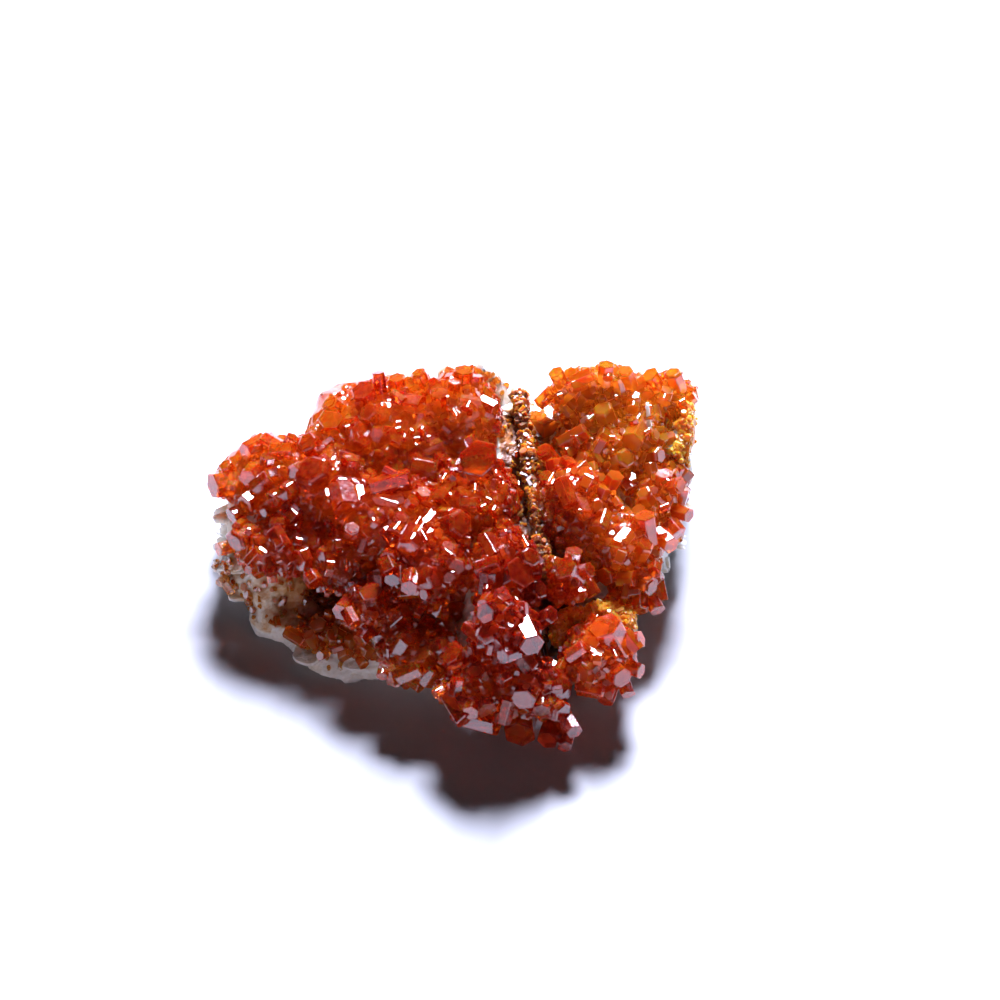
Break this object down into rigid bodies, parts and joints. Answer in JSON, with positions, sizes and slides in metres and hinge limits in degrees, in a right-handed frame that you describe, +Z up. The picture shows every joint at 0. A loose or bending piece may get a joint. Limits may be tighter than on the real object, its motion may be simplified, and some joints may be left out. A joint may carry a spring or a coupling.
{
  "type": "vanadinite on matrix",
  "caption": "Crust of red and orange six-sided vanadinite crystals over a block of bladed white barite rock, resting on its flat underside.",
  "frame": {"origin": "a point of the flat underside, which lies in the plane z = 0", "axes": "+Z up, +X to the right along the longest side, -Y towards the side that the sloping display face looks to"},
  "size_m": [0.0557, 0.0474, 0.0205],
  "materials": {
    "barite": "rough, bladed, translucent white, stained orange beside the crystals",
    "vanadinite": "see-through deep red to orange crystal with bright, flat, adamantine faces",
    "druse": "very fine sparkling yellow-orange crystals"
  },
  "bodies": {
    "root": {"barite_matrix": "barite", "main_crust": "vanadinite", "right_crust": "vanadinite", "gap_ball": "vanadinite", "lower_right_crust": "vanadinite", "shelf_crust": "vanadinite", "channel_druse": "druse", "cavity_druse": "druse", "edge_druse": "druse"}
  },
  "joints": []
}
